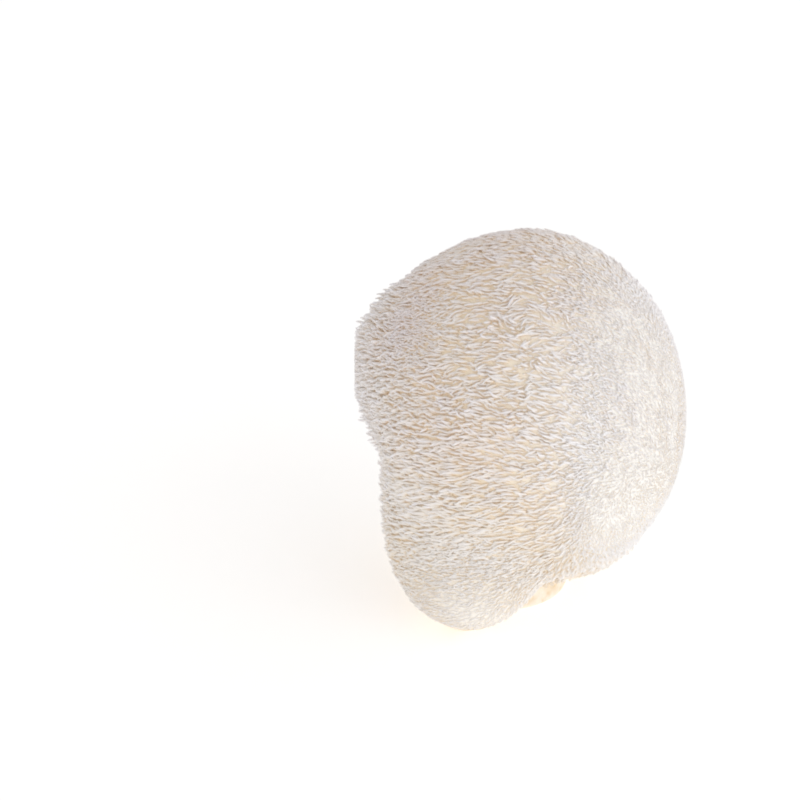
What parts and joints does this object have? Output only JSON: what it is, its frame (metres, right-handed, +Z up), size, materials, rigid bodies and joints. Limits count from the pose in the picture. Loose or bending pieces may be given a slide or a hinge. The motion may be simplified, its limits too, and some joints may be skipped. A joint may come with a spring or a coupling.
{
  "type": "lion's mane mushroom",
  "caption": "Fresh lion's mane mushroom: a rounded cream-white head covered all over in soft hanging spines, on a short stalk cut off flat.",
  "frame": {"origin": "centre of the flat cut under the stalk, on which the mushroom stands", "axes": "+Z up out of the cut, +X to the right seen from the front, front towards -Y; the spines hang towards -X"},
  "size_m": [0.1148, 0.111, 0.1327],
  "materials": {
    "fruit_body": "matte"
  },
  "bodies": {
    "root": {"fruit_body": "fruit_body"}
  },
  "joints": []
}
